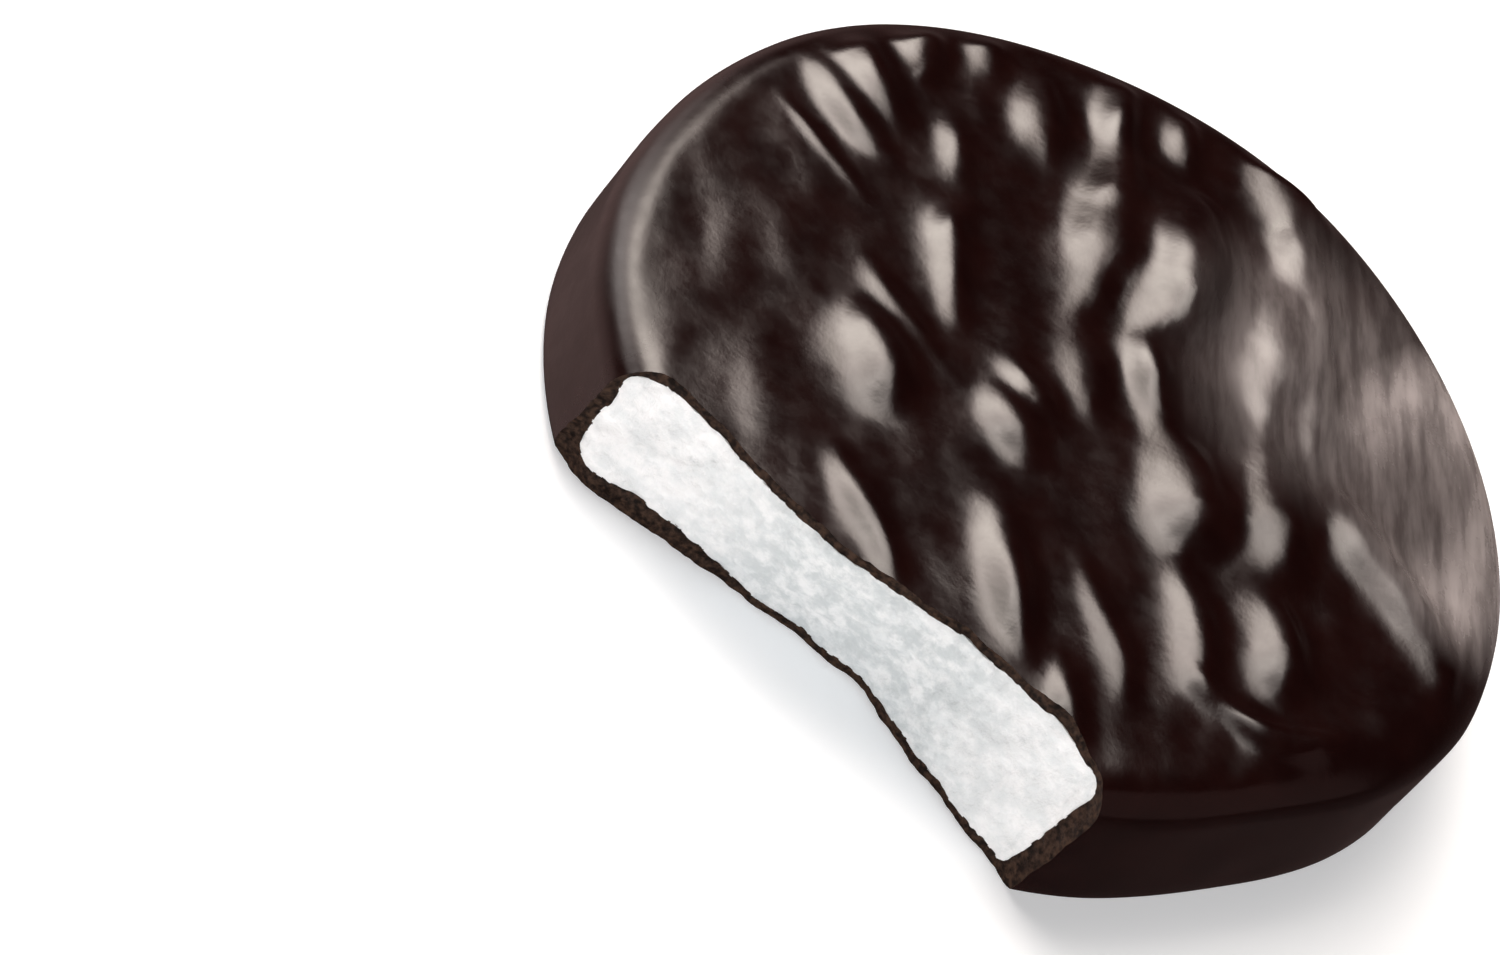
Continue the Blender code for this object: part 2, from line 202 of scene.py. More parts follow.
# Strength of the faint painted sheen, how much of the painted sheen is taken away in its dimmer place,
# the skin's roughness where it is glossiest and dullest, and what the bloom patch and the softer gloss
# add to that
FAINT_SHEEN_SHARE = 0.35
DIM_SHEEN_SHARE = 0.7
SKIN_ROUGHNESS = (0.16, 0.23)
BLOOM_ROUGHNESS = 0.14
SOFT_ROUGHNESS = 0.15

# Sockets of a Mix node that hold its two colours and the mixed one
FIRST_COLOUR = 6
SECOND_COLOUR = 7
MIXED_COLOUR = 2

# Camera: the photograph's frame in pixels, the view's direction and roll in degrees, and where the
# patty's middle lies in the frame
PHOTO_SIZE = (1500, 955)
MIDDLE_PIXEL = (1037.7, 452.0)
VIEW_AZIMUTH = -90.0
VIEW_ELEVATION = 42.0
VIEW_ROLL = 42.0
LENS = 135.0
SENSOR = 36.0
VIEW_DISTANCE = 354.7
MIDDLE_HEIGHT = 5.3

# Soft boxes: azimuth and elevation of the middle, half width and half height (all degrees), radiance,
# colour and a turn about the line of sight; azimuth counts from +X towards +Y. Boxes that lie over
# each other make one light that fades at its edge; each stands a step further out than the one
# before it, so that none lie in one plane
KEY_BOXES = (
    (136, 48, 4, 5, 1.8, (1.0, 0.93, 0.83)),
    (136, 48, 7, 8, 2.7, (1.0, 0.93, 0.83)),
    (135, 48, 10, 11, 3.8, (1.0, 0.92, 0.82)),
    (135, 48, 13, 14, 3.6, (1.0, 0.89, 0.81)),
    (135, 48, 16, 17, 1.6, (1.0, 0.84, 0.78)),
    (137, 47, 19, 19, 0.3, (1.0, 0.76, 0.73)),
)
SIDE_BOXES = (
    (108, 66, 7, 5, 3.0, (1.0, 0.92, 0.84)),
    (108, 66, 11, 8, 3.0, (1.0, 0.90, 0.82)),
    (108, 66, 14, 10, 0.8, (1.0, 0.84, 0.80)),
    (152, 68, 9, 6, 2.6, (1.0, 0.92, 0.84)),
    (150, 68, 13, 9, 2.1, (1.0, 0.90, 0.82)),
    (100, 76, 12, 8, 2.5, (1.0, 0.92, 0.86)),
    (151, 39, 14, 5, 2.2, (1.0, 0.91, 0.88), 45),
    (163, 29, 13, 6, 2.2, (1.0, 0.93, 0.90), 40),
    (163, 29, 18, 9, 1.8, (1.0, 0.92, 0.88), 40),
    (162, 28, 23, 12, 1.2, (1.0, 0.88, 0.85), 40),
    (152, 9, 20, 7, 1.0, (1.0, 0.84, 0.81)),
)
RIGHT_BOX = (-15, 32, 35, 25, 0.20, (1.0, 0.62, 0.58))
FRONT_BOX = (-80, 22, 20, 12, 6.2, (1.0, 1.0, 1.0))
LIGHT_DISTANCE = 0.8
LIGHT_STEP = 0.02

# Glow of the surroundings: above the horizon, and low on the left and right. The fades give the X and
# the Z of a unit direction between which one glow turns into the next. The last two are the glow's
# colour and the backdrop's brightness
ROOM_GLOW = 0.012
LEFT_GLOW = 0.64
RIGHT_GLOW = 0.07
LEFT_FADE = (-0.25, -0.85)
HORIZON_FADE = (-0.25, 0.25)
GLOW_COLOUR = (1.0, 0.66, 0.62, 1.0)
BACKDROP_GLOW = 0.9


def noise_at(x, y, z, size):
    """Smooth noise from about -1 to 1 at many points."""
    spots = np.stack(np.broadcast_arrays(x, y, z), -1).reshape(-1, 3) / size
    values = np.fromiter((noise.noise(spot) for spot in spots.tolist()), float, len(spots))
    return values.reshape(np.broadcast(x, y, z).shape)


def layered(x, y, z, layers):
    """Sum of noises that are given as (depth, size)."""
    total = 0.0
    for i, (depth, size) in enumerate(layers):
        total = total + depth * noise_at(x, y + LAYER_STEP * i, z, size)
    return total


def smooth_step(value):
    """0 below 0, 1 above 1, and a smooth rise between."""
    t = np.clip(value, 0.0, 1.0)
    return t * t * (3 - 2 * t)


def through_points(points, x):
    """Heights at x of the smooth curve through points that are listed by rising x."""
    across, up = np.array(points, float).T
    after = np.minimum(np.arange(len(across)) + 1, len(across) - 1)
    before = np.maximum(np.arange(len(across)) - 1, 0)
    slope = (up[after] - up[before]) / (across[after] - across[before])
    i = np.clip(np.searchsorted(across, x) - 1, 0, len(across) - 2)
    span = across[i + 1] - across[i]
    t = np.clip((x - across[i]) / span, 0.0, 1.0)
    rise = (2 * t**3 - 3 * t**2 + 1) * up[i] + (3 * t**2 - 2 * t**3) * up[i + 1]
    lean = (t**3 - 2 * t**2 + t) * slope[i] + (t**3 - t**2) * slope[i + 1]
    return rise + span * lean


# The curve of the radii runs on past both ends of the turn, so that it closes smoothly
TURN_STEP = math.tau / len(OUTLINE_RADII)
OUTLINE_CURVE = [
    (k * TURN_STEP, OUTLINE_RADII[k % len(OUTLINE_RADII)])
    for k in range(-2, len(OUTLINE_RADII) + 3)
]


def outline_radius(x, y):
    """Radius of the outline in the direction of each point."""
    return through_points(OUTLINE_CURVE, np.arctan2(y, x) % math.tau)


def ridge_stations(ridge):
    """Evenly spaced mounds along a ridge: each one's x, y, direction, width and height."""
    width, height, *points = ridge
    first = Vector(points[0])
    last = Vector(points[-1])
    knots = [2 * first - Vector(points[1]), *map(Vector, points), 2 * last - Vector(points[-2])]
    line = []
    for before, start, end, after in zip(knots, knots[1:], knots[2:], knots[3:]):
        pieces = max(1, round((end - start).length / RIDGE_STEP))
        for piece in range(pieces):
            t = piece / pieces
            bend = (2 * before - 5 * start + 4 * end - after) * t**2
            twist = (3 * start - before - 3 * end + after) * t**3
            line.append((2 * start + (end - before) * t + bend + twist) / 2)
    line.append(last)

    stations = []
    for i, spot in enumerate(line):
        along = (line[min(i + 1, len(line) - 1)] - line[max(i - 1, 0)]).normalized()
        middle = math.sin(math.pi * i / (len(line) - 1))
        wide = width * (RIDGE_END_WIDTH + (1 - RIDGE_END_WIDTH) * middle)
        high = height * (RIDGE_END_HEIGHT + (1 - RIDGE_END_HEIGHT) * middle)
        stations.append((spot.x, spot.y, along.x, along.y, wide, high))
    return stations


def ripple_height(x, y):
    """Height that the ripples add at each point of the top."""
    wander_x = WANDER * noise_at(x, y, 0.0, WANDER_SIZE)
    wander_y = WANDER * noise_at(x, y, WANDER_SLICE, WANDER_SIZE)
    x = x + wander_x
    y = y + wander_y
    # Mounds lie over each other, and this share of each adds up to the ridge's height
    share = RIDGE_STEP / (math.sqrt(math.pi) * MOUND_LENGTH)
    total = np.zeros_like(x)
    for ridge in RIDGES:
        for middle_x, middle_y, along_x, along_y, width, height in ridge_stations(ridge):
            off_x = x - middle_x
            off_y = y - middle_y
            run = (off_x * along_x + off_y * along_y) / MOUND_LENGTH
            across = off_y * along_x - off_x * along_y - CREST_OFFSET * width
            flank = np.where(across < 0, LEFT_FLANK, RIGHT_FLANK) * width
            total += height * share * np.exp(-(run**2) - (across / flank) ** 2)
    return total


def quarter_fall(x, y):
    """How far the right far quarter of the top falls away."""
    heading = math.radians(FALL_HEADING)
    out = (x * math.cos(heading) + y * math.sin(heading) - FALL_START) / FALL_BLEND
    depth = FALL_SLOPE * FALL_BLEND * np.log1p(np.exp(out))
    return depth / (1 + np.exp(-y / FALL_FRONT))


def top_height(x, y, rippled):
    """Height of the chocolate's top, without its rounded shoulder."""
    rim = outline_radius(x, y)
    reach = np.hypot(x, y)
    dome = SHOULDER_HEIGHT + CROWN_RISE * (1 - (reach / rim) ** 2) + WEDGE_RISE * x / rim
    dome = dome - quarter_fall(x, y)
    if not rippled:
        return dome
    inside = (rim - RIPPLE_EDGE - reach) / RIPPLE_FADE
    relief = layered(x, y, 0.0, (COAT_SWELL, COAT_GRAIN))
    heading = math.radians(STREAK_HEADING)
    along = x * math.cos(heading) + y * math.sin(heading)
    aside = y * math.cos(heading) - x * math.sin(heading)
    streaks = STREAKS[0] * noise_at(along / STREAK_LENGTH, aside, STREAK_SLICE, STREAKS[1])
    return dome + (ripple_height(x, y) + relief + streaks) * smooth_step(inside + 0.5)


def varied(size, u):
    """A size that is given at the middle, with what it gains towards +X, at places u across."""
    middle, gain = size
    return middle + gain * u


def shoulder_drop(inset, u, shoulder):
    """How far the rounded shoulder has dropped at an inset from the outline."""
    width, gain, drop, power = shoulder
    out = np.clip(1 - (inset - WALL_LEAN) / varied((width, gain), u), 0.0, 1.0)
    return drop * (1 - np.sqrt(1 - out**power))


def bite_surface(x, z, layers):
    """How far back (y) the bite reaches at each point of its face."""
    t = smooth_step(z / BITE_TOP_HEIGHT)
    y = (1 - t) * through_points(BITE_BOTTOM, x) + t * through_points(BITE_TOP, x)
    for i, (depth, size) in enumerate(BITE_CRAGS):
        y = y + depth * noise_at(x, CRAG_STEP * i, z, size)
    return y + layered(x, BREAK_SLICE, z, layers)


def square_to_disc(u, v):
    """Points of the unit disc for points of the square from -1 to 1, its rings kept even."""
    wide = np.abs(u) > np.abs(v)
    reach = np.where(wide, u, v)
    side = np.where(wide, v, u)
    angle = math.pi / 4 * side / np.where(reach == 0, 1.0, reach)
    along = reach * np.cos(angle)
    aside = reach * np.sin(angle)
    return np.where(wide, along, aside), np.where(wide, aside, along)


def section_rows(height, u, rows, shoulder):
    """Inset and height of each row of the wall, from below the top's edge to the flat bottom."""
    shoulder_rows, wall_rows, base_rows = rows
    section = []
    for row in range(1, shoulder_rows + 1):
        inset = WALL_LEAN + EDGE_INSET * (1 - math.sin(math.pi / 2 * row / shoulder_rows))
        section.append((inset, height - shoulder_drop(inset, u, shoulder)))
    wall_top = height - shoulder[2]
    for row in range(1, wall_rows + 1):
        z = wall_top + (BASE_ROUNDING - wall_top) * row / wall_rows
        rise = np.clip((z - BELLY_HEIGHT) / (wall_top - BELLY_HEIGHT), 0.0, 1.0)
        section.append((WALL_LEAN * rise**LEAN_POWER, z))
    for row in range(1, base_rows + 1):
        turn = math.pi / 2 * row / base_rows
        inset = BASE_ROUNDING * (1 - math.cos(turn))
        section.append((inset, np.full_like(height, BASE_ROUNDING * (1 - math.sin(turn)))))
    return section


def disc_mesh(name, cells, rows, inner=False, overlap=0.0):
    """Closed disc: the patty's outside, or the room for its filling, grown by an overlap."""
    bm = bmesh.new()
    bmesh.ops.create_grid(bm, x_segments=cells, y_segments=cells, size=1.0)
    edge = [e for e in bm.edges if e.is_boundary]
    for row in range(1, sum(rows) + 1):
        grown = bmesh.ops.extrude_edge_only(bm, edges=edge)["geom"]
        edge = [g for g in grown if isinstance(g, bmesh.types.BMEdge) and g.is_boundary]
        for vertex in {v for e in edge for v in e.verts}:
            vertex.co.z = -row
    if inner:
        below = Matrix.Translation((0, 0, -sum(rows)))
        bmesh.ops.create_grid(bm, x_segments=cells, y_segments=cells, size=1.0, matrix=below)
        bmesh.ops.remove_doubles(bm, verts=bm.verts, dist=MERGE_DISTANCE)
    else:
        bmesh.ops.contextual_create(bm, geom=edge)
    flat = np.array([v.co for v in bm.verts])
    row_of = np.round(-flat[:, 2])
    places = disc_places(flat, row_of, rows, inner, overlap)
    for vertex, place in zip(bm.verts, places.tolist()):
        vertex.co = place
    return finished_mesh(bm, name)


def disc_places(flat, row_of, rows, inner, overlap):
    """Where the points of a disc's mesh go, from their place on the unit square and their row."""
    u, v = square_to_disc(flat[:, 0], flat[:, 1])
    rim = outline_radius(u, v)
    shoulder = MINT_SHOULDER if inner else COAT_SHOULDER
    share = 1.0 if inner else 0.0
    side = share * (varied(SIDE_COAT, u) - overlap)
    top = share * (TOP_COAT - overlap)
    reach = rim - WALL_LEAN - EDGE_INSET - side
    x = u * reach
    y = v * reach
    height = top_height(x, y, not inner)
    drop = shoulder_drop(rim - side - np.hypot(x, y), u, shoulder)
    places = np.stack([x, y, height - top - drop], -1)
    for row, (inset, z) in enumerate(section_rows(height, u, rows, shoulder), start=1):
        across = u * (rim - inset - side)
        crags = BASE_CRAGS[0] * noise_at(across, y, BASE_SLICE, BASE_CRAGS[1])
        base = share * (through_points(BASE_COAT, across) + crags - overlap)
        level = base + z * (height - top - base) / height
        here = row_of == row
        places[here] = np.stack([across, v * (rim - inset - side), level], -1)[here]
    swell = 0.0 if inner else WALL_SWELL[0] * noise_at(*places.T, WALL_SWELL[1])
    high = np.clip(places[:, 2] / BELLY_HEIGHT, 0.0, 1.0)
    away = swell * np.clip(row_of / rows[0], 0.0, 1.0) * high
    places[:, 0] += u * away
    places[:, 1] += v * away
    return places


def bite_mesh(name, layers):
    """Closed block whose near-vertical front is the face that the bite leaves."""
    low_x = BITE_TOP[0][0]
    high_x = BITE_TOP[-1][0]
    width = high_x - low_x
    height = BITE_HIGH - BITE_LOW
    bm = bmesh.new()
    bmesh.ops.create_grid(
        bm,
        x_segments=round(width / BITE_CELL),
        y_segments=round(height / BITE_CELL),
        size=0.5,
    )
    flat = np.array([v.co for v in bm.verts])
    x = low_x + (flat[:, 0] + 0.5) * width
    z = BITE_LOW + (flat[:, 1] + 0.5) * height
    places = np.stack([x, bite_surface(x, z, layers), z], -1)
    for vertex, place in zip(bm.verts, places.tolist()):
        vertex.co = place
    grown = bmesh.ops.extrude_face_region(bm, geom=list(bm.faces))["geom"]
    for vertex in (g for g in grown if isinstance(g, bmesh.types.BMVert)):
        vertex.co.y = BITE_BACK
    return finished_mesh(bm, name)


def finished_mesh(bm, name):
    """Mesh data in metres, its faces turned outwards."""
    bmesh.ops.recalc_face_normals(bm, faces=bm.faces)
    bmesh.ops.scale(bm, vec=Vector((MM, MM, MM)), verts=bm.verts)
    mesh = bpy.data.meshes.new(name)
    bm.to_mesh(mesh)
    bm.free()
    return mesh


def add_object(name, mesh, *materials):
    """Object in the scene with its materials."""
    obj = bpy.data.objects.new(name, mesh)
    bpy.context.scene.collection.objects.link(obj)
    for material in materials:
        mesh.materials.append(material)
    return obj


def cut(obj, *cutters):
    """Take the cutters' forms out of an object, for good, and remove the cutters."""
    for cutter in cutters:
        modifier = obj.modifiers.new("Cut", "BOOLEAN")
        modifier.operation = "DIFFERENCE"
        modifier.solver = "MANIFOLD"
        modifier.object = cutter
        modifier.material_mode = "TRANSFER"
    bpy.context.view_layer.update()
    whole = obj.evaluated_get(bpy.context.evaluated_depsgraph_get())
    obj.data = bpy.data.meshes.new_from_object(whole)
    obj.modifiers.clear()
    for cutter in cutters:
        bpy.data.objects.remove(cutter)


class Nodes:
    """Short way to build a material's nodes on object coordinates in millimetres."""

    def __init__(self, name):
        self.material = bpy.data.materials.new(name)
        self.material.use_nodes = True
        self.tree = self.material.node_tree
        self.shader = self.tree.nodes["Principled BSDF"]
        place = self.tree.nodes.new("ShaderNodeTexCoord")
        scale = self.tree.nodes.new("ShaderNodeMapping")
        scale.inputs["Scale"].default_value = (1 / MM, 1 / MM, 1 / MM)
        self.link(place.outputs["Object"], scale.inputs["Vector"])
        self.here = scale.outputs["Vector"]

    def link(self, source, target):
        """Connect two sockets."""
        self.tree.links.new(source, target)

    def put(self, value, socket):
        """Link a socket or set a number."""
        if isinstance(value, bpy.types.NodeSocket):
            self.link(value, socket)
        else:
            socket.default_value = value

    def noise(self, size, detail=3.0, roughness=0.55, length=1.0, heading=0.0):
        """Noise whose features are about size millimetres, drawn out along a heading of the plan."""
        mapping = self.tree.nodes.new("ShaderNodeMapping")
        mapping.vector_type = "TEXTURE"
        mapping.inputs["Rotation"].default_value = (0.0, 0.0, math.radians(heading))
        mapping.inputs["Scale"].default_value = (length, 1.0, 1.0)
        self.link(self.here, mapping.inputs["Vector"])
        node = self.tree.nodes.new("ShaderNodeTexNoise")
        node.inputs["Scale"].default_value = 1 / size
        node.inputs["Detail"].default_value = detail
        node.inputs["Roughness"].default_value = roughness
        self.link(mapping.outputs["Vector"], node.inputs["Vector"])
        return node.outputs["Fac"]

    def ramp(self, value, low, high, start=0.0, end=1.0):
        """Smooth rise from start to end as a value goes from low to high."""
        node = self.tree.nodes.new("ShaderNodeMapRange")
        node.interpolation_type = "SMOOTHSTEP"
        self.put(value, node.inputs["Value"])
        node.inputs["From Min"].default_value = low
        node.inputs["From Max"].default_value = high
        node.inputs["To Min"].default_value = start
        node.inputs["To Max"].default_value = end
        return node.outputs["Result"]

    def maths(self, operation, first, second=0.0):
        """Result of a calculation on one or two values."""
        node = self.tree.nodes.new("ShaderNodeMath")
        node.operation = operation
        self.put(first, node.inputs[0])
        self.put(second, node.inputs[1])
        return node.outputs["Value"]

    def mix(self, share, first, second):
        """Colour between two colours."""
        node = self.tree.nodes.new("ShaderNodeMix")
        node.data_type = "RGBA"
        self.put(share, node.inputs["Factor"])
        for colour, socket in ((first, FIRST_COLOUR), (second, SECOND_COLOUR)):
            plain = not isinstance(colour, bpy.types.NodeSocket)
            self.put((*colour, 1.0) if plain else colour, node.inputs[socket])
        return node.outputs[MIXED_COLOUR]

    def place_along(self, axis):
        """Millimetres along an axis."""
        parts = self.tree.nodes.new("ShaderNodeSeparateXYZ")
        self.link(self.here, parts.inputs["Vector"])
        return parts.outputs[axis]

    def near(self, middle, reach, soft):
        """1 within an upright oval round a point of the plan, fading over its soft edge."""
        squares = []
        for axis, centre, half in zip("XY", middle, reach):
            off = self.maths("SUBTRACT", self.place_along(axis), centre)
            squares.append(self.maths("POWER", self.maths("DIVIDE", off, half), 2.0))
        return self.ramp(self.maths("SQRT", self.maths("ADD", *squares)), 1.0 + soft, 1.0 - soft)

    def bump(self, height, depth, before=None):
        """Relief of depth millimetres, on top of the one before it."""
        node = self.tree.nodes.new("ShaderNodeBump")
        node.inputs["Distance"].default_value = depth * MM
        self.link(height, node.inputs["Height"])
        if before:
            self.link(before, node.inputs["Normal"])
        return node.outputs["Normal"]


def chocolate_skin():
    """Set dark chocolate: deep brown, a satin gloss, softer on the left rim, and a grey bloom patch
    that paints the sheen of the right far quarter.
    """
    nodes = Nodes("Chocolate skin")
    shader = nodes.shader
    mottle = nodes.ramp(nodes.noise(5.0), low=0.35, high=0.7)
    brown = nodes.mix(mottle, DEEP_BROWN, WARM_BROWN)
    streaky = nodes.noise(1.5, detail=4.0, roughness=0.6, length=5.0, heading=-60.0)
    streaks = nodes.ramp(streaky, low=0.3, high=0.7, start=0.4)
    # Painted sheen: a grey patch on the right far quarter, dimmer in its middle, with a faint part
    # beside it and fading out low on the wall
    dim_sheen = nodes.maths("MULTIPLY", nodes.near(*DIM_SHEEN_OVAL), DIM_SHEEN_SHARE)
    main_sheen = nodes.maths("SUBTRACT", nodes.near(*SHEEN_AND_BLOOM_OVAL), dim_sheen)
    faint = nodes.maths("MULTIPLY", nodes.near(*FAINT_SHEEN_OVAL), FAINT_SHEEN_SHARE)
    patch = nodes.maths("MAXIMUM", main_sheen, faint)
    upper = nodes.ramp(nodes.place_along("Z"), *SHEEN_AND_BLOOM_FADE)
    sheen_and_bloom = nodes.maths("MULTIPLY", nodes.maths("MULTIPLY", patch, upper), streaks)
    # The painted sheen is mixed into the brown here
    nodes.link(nodes.mix(sheen_and_bloom, brown, SHEEN_AND_BLOOM_GREY), shader.inputs["Base Color"])
    gloss = nodes.ramp(nodes.noise(1.8, detail=4.0, roughness=0.6), 0.3, 0.7, *SKIN_ROUGHNESS)
    dull = nodes.maths("MULTIPLY", sheen_and_bloom, BLOOM_ROUGHNESS)
    rim = nodes.maths("SUBTRACT", 1.0, nodes.near(*INSIDE_RIM))
    left = nodes.maths("MULTIPLY", nodes.near(*SOFT_OVAL), SOFT_ROUGHNESS)
    rough = nodes.maths("ADD", nodes.maths("ADD", gloss, dull), nodes.maths("MULTIPLY", rim, left))
    nodes.link(rough, shader.inputs["Roughness"])
    fine = nodes.bump(nodes.noise(0.35, detail=4.0, roughness=0.6), depth=0.005)
    coarse = nodes.bump(nodes.noise(1.3, detail=4.0), depth=0.016, before=fine)
    nodes.link(coarse, shader.inputs["Normal"])
    return nodes.material


def broken_chocolate():
    """Dull, crumbly brown of the coat where it is broken."""
    nodes = Nodes("Broken chocolate")
    shader = nodes.shader
    crumb = nodes.ramp(nodes.noise(0.45, detail=5.0, roughness=0.65), low=0.35, high=0.68)
    nodes.link(nodes.mix(crumb, BREAK_DARK, BREAK_BROWN), shader.inputs["Base Color"])
    shader.inputs["Roughness"].default_value = 0.62
    shader.inputs["Specular IOR Level"].default_value = 0.2
    grain = nodes.bump(nodes.noise(0.25, detail=5.0, roughness=0.7), depth=0.05)
    nodes.link(grain, shader.inputs["Normal"])
    return nodes.material


def mint_fondant():
    """Matt white fondant with a patchy painted shade in the middle of the bite, and a fine sugary
    grain.
    """
    nodes = Nodes("Mint fondant")
    shader = nodes.shader
    cloud = nodes.ramp(nodes.noise(1.5, detail=5.0, roughness=0.62), low=0.36, high=0.62)
    white = nodes.mix(cloud, FONDANT_DIM, FONDANT_WHITE)
    patches = nodes.noise(1.2, detail=5.0, roughness=0.64)
    patchy = nodes.ramp(patches, low=0.36, high=0.64, start=0.85, end=0.3)
    # Painted shade: grey in the middle of the bitten face, where it lies deeper, broken into patches
    middle_shade = nodes.maths("MULTIPLY", nodes.near(*MIDDLE_SHADE_OVAL), patchy)
    nodes.link(nodes.mix(middle_shade, white, FONDANT_SHADE_GREY), shader.inputs["Base Color"])
    shader.inputs["Roughness"].default_value = 0.65
    shader.inputs["Subsurface Weight"].default_value = 0.25
    shader.inputs["Subsurface Scale"].default_value = 0.0008
    shader.inputs["Subsurface Radius"].default_value = (1.0, 1.0, 1.0)
    grain = nodes.bump(nodes.noise(0.22, detail=4.0, roughness=0.7), depth=0.07)
    lumps = nodes.bump(nodes.noise(0.9), depth=0.14, before=grain)
    nodes.link(lumps, shader.inputs["Normal"])
    return nodes.material


def pale_table():
    """Pale, even surface of the table."""
    nodes = Nodes("Pale table")
    nodes.shader.inputs["Base Color"].default_value = TABLE_COLOUR
    nodes.shader.inputs["Emission Color"].default_value = (1.0, 1.0, 1.0, 1.0)
    nodes.shader.inputs["Emission Strength"].default_value = 0.3
    nodes.shader.inputs["Roughness"].default_value = 0.9
    nodes.shader.inputs["Specular IOR Level"].default_value = 0.1
    return nodes.material


def add_coat():
    """Rippled chocolate coat, hollow inside and broken open at the bite."""
    broken = broken_chocolate()
    skin = chocolate_skin()
    coat = add_object("chocolate_coat", disc_mesh("chocolate_coat", COAT_CELLS, COAT_ROWS), skin)
    hollow = add_object("hollow", disc_mesh("hollow", MINT_CELLS, MINT_ROWS, True), broken)
    bite = add_object("bite", bite_mesh("bite", COAT_BREAK), broken)
    cut(coat, hollow, bite)
    coat.data.shade_smooth()
    coat.data.set_sharp_from_angle(angle=math.radians(COAT_SHARP_ANGLE))
    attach(coat, "root")
    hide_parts("chocolate_shell")


def add_filling():
    """White filling that runs through the patty and shows at the bite."""
    mint = mint_fondant()
    filling_mesh = disc_mesh("mint_fondant", MINT_CELLS, MINT_ROWS, True, MINT_OVERLAP)
    filling = add_object("mint_fondant", filling_mesh, mint)
    bite = add_object("bite", bite_mesh("bite", MINT_CRUMB), mint)
    cut(filling, bite)
    filling.data.shade_smooth()
    filling.data.set_sharp_from_angle(angle=math.radians(MINT_SHARP_ANGLE))
    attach(filling, "root")
    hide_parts("mint_filling")


def add_table():
    """Wide flat surface under the patty."""
    bm = bmesh.new()
    bmesh.ops.create_grid(bm, x_segments=1, y_segments=1, size=TABLE_REACH)
    table = add_object("table", finished_mesh(bm, "table"), pale_table())
    table.visible_glossy = False


def direction(azimuth, elevation):
    """Unit vector towards a direction given in degrees."""
    turn = math.radians(azimuth)
    rise = math.radians(elevation)
    return Vector((math.cos(turn) * math.cos(rise), math.sin(turn) * math.cos(rise), math.sin(rise)))


def add_soft_box(name, distance, azimuth, elevation, half_width, half_height, radiance, colour, roll=0):
    """Rectangular light that faces the patty, unseen by the camera."""
    away = direction(azimuth, elevation)
    light = bpy.data.lights.new(name, "AREA")
    light.shape = "RECTANGLE"
    light.size = 2 * distance * math.tan(math.radians(half_width))
    light.size_y = 2 * distance * math.tan(math.radians(half_height))
    light.energy = radiance * math.pi * light.size * light.size_y
    light.color = colour
    lamp = bpy.data.objects.new(name, light)
    bpy.context.scene.collection.objects.link(lamp)
    lamp.location = away * distance + Vector((0, 0, MIDDLE_HEIGHT * MM))
    turned = away.to_track_quat("Z", "Y") @ Quaternion((0, 0, 1), math.radians(roll))
    lamp.rotation_euler = turned.to_euler()
    lamp.visible_camera = False


def add_lights():
    """Wide warm key from the far left with fills beside it, a right panel and a white one in front."""
    for i, box in enumerate((*KEY_BOXES, *SIDE_BOXES, RIGHT_BOX, FRONT_BOX)):
        add_soft_box(f"box_{i}", LIGHT_DISTANCE + i * LIGHT_STEP, *box)


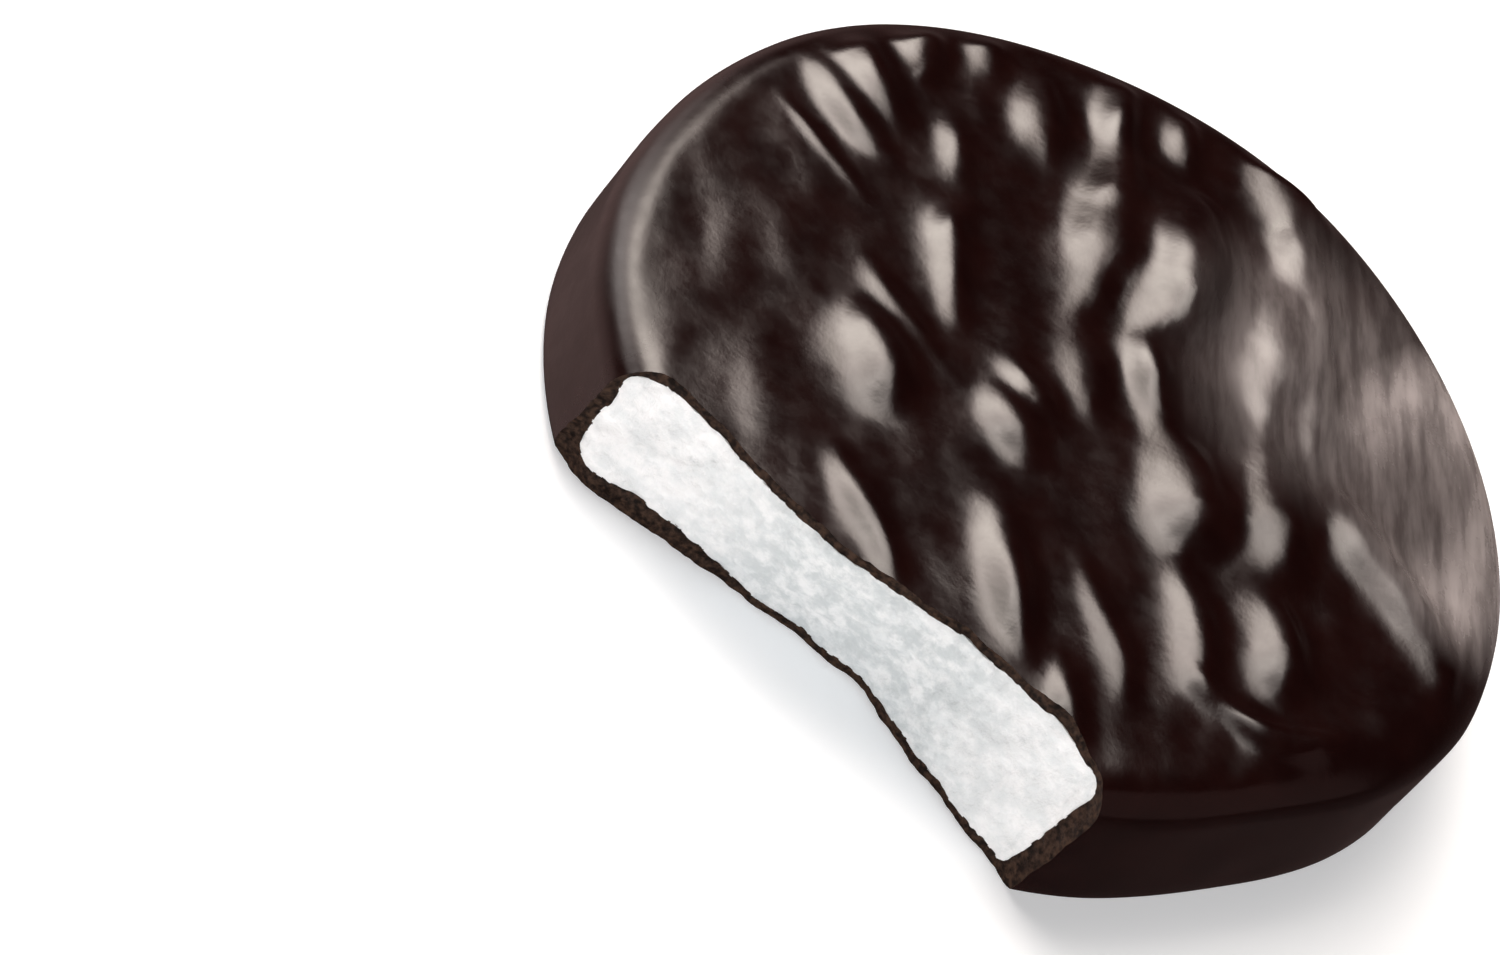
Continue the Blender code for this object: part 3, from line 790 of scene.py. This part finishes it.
def add_room():
    """Dim surroundings that the camera sees as a pale backdrop."""
    world = bpy.data.worlds.new("Room")
    bpy.context.scene.world = world
    world.use_nodes = True
    tree = world.node_tree
    glow = tree.nodes["Background"]
    place = tree.nodes.new("ShaderNodeTexCoord")
    parts = tree.nodes.new("ShaderNodeSeparateXYZ")
    tree.links.new(place.outputs["Generated"], parts.inputs["Vector"])
    low = tree.nodes.new("ShaderNodeMapRange")
    low.interpolation_type = "SMOOTHSTEP"
    low.inputs["From Min"].default_value = LEFT_FADE[0]
    low.inputs["From Max"].default_value = LEFT_FADE[1]
    low.inputs["To Min"].default_value = RIGHT_GLOW
    low.inputs["To Max"].default_value = LEFT_GLOW
    tree.links.new(parts.outputs["X"], low.inputs["Value"])
    room = tree.nodes.new("ShaderNodeMapRange")
    room.interpolation_type = "SMOOTHSTEP"
    room.inputs["From Min"].default_value = HORIZON_FADE[0]
    room.inputs["From Max"].default_value = HORIZON_FADE[1]
    room.inputs["To Max"].default_value = ROOM_GLOW
    tree.links.new(low.outputs["Result"], room.inputs["To Min"])
    tree.links.new(parts.outputs["Z"], room.inputs["Value"])
    path = tree.nodes.new("ShaderNodeLightPath")
    level = tree.nodes.new("ShaderNodeMapRange")
    level.inputs["To Max"].default_value = BACKDROP_GLOW
    tree.links.new(room.outputs["Result"], level.inputs["To Min"])
    tree.links.new(path.outputs["Is Camera Ray"], level.inputs["Value"])
    tree.links.new(level.outputs["Result"], glow.inputs["Strength"])
    tint = tree.nodes.new("ShaderNodeMix")
    tint.data_type = "RGBA"
    tree.links.new(path.outputs["Is Camera Ray"], tint.inputs["Factor"])
    tint.inputs[FIRST_COLOUR].default_value = GLOW_COLOUR
    tint.inputs[SECOND_COLOUR].default_value = (1.0, 1.0, 1.0, 1.0)
    tree.links.new(tint.outputs[MIXED_COLOUR], glow.inputs["Color"])


def add_camera():
    """Camera at the photograph's angle, turned so that the patty lies where it does there."""
    away = direction(VIEW_AZIMUTH, VIEW_ELEVATION)
    target = Vector((0, 0, MIDDLE_HEIGHT * MM))
    level_right = Vector((1, 0, 0))
    level_up = away.cross(level_right)
    roll = math.radians(VIEW_ROLL)
    right = math.cos(roll) * level_right + math.sin(roll) * level_up
    up = math.cos(roll) * level_up - math.sin(roll) * level_right
    facing = Matrix((right, up, away)).transposed()

    pixels = LENS / SENSOR * PHOTO_SIZE[0]
    aside = MIDDLE_PIXEL[0] - PHOTO_SIZE[0] / 2
    above = PHOTO_SIZE[1] / 2 - MIDDLE_PIXEL[1]
    sight = Vector((aside, above, -pixels)).normalized()
    swing = sight.rotation_difference(Vector((0, 0, -1))).to_matrix()

    camera_data = bpy.data.cameras.new("camera")
    camera_data.lens = LENS
    camera_data.sensor_width = SENSOR
    camera_data.clip_start = 0.01
    camera = bpy.data.objects.new("camera", camera_data)
    bpy.context.scene.collection.objects.link(camera)
    place = Matrix.Translation(target + away * VIEW_DISTANCE * MM)
    camera.matrix_world = place @ (facing @ swing).to_4x4()
    bpy.context.scene.camera = camera


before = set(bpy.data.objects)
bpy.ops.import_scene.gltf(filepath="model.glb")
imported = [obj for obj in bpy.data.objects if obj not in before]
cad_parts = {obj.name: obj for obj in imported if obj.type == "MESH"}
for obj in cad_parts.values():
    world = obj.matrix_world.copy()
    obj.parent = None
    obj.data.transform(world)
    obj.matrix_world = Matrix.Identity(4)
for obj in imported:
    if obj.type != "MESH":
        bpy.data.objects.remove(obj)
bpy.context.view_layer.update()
add_coat()
add_filling()
add_table()
add_lights()
add_room()
add_camera()
bpy.context.scene.view_settings.view_transform = "Standard"
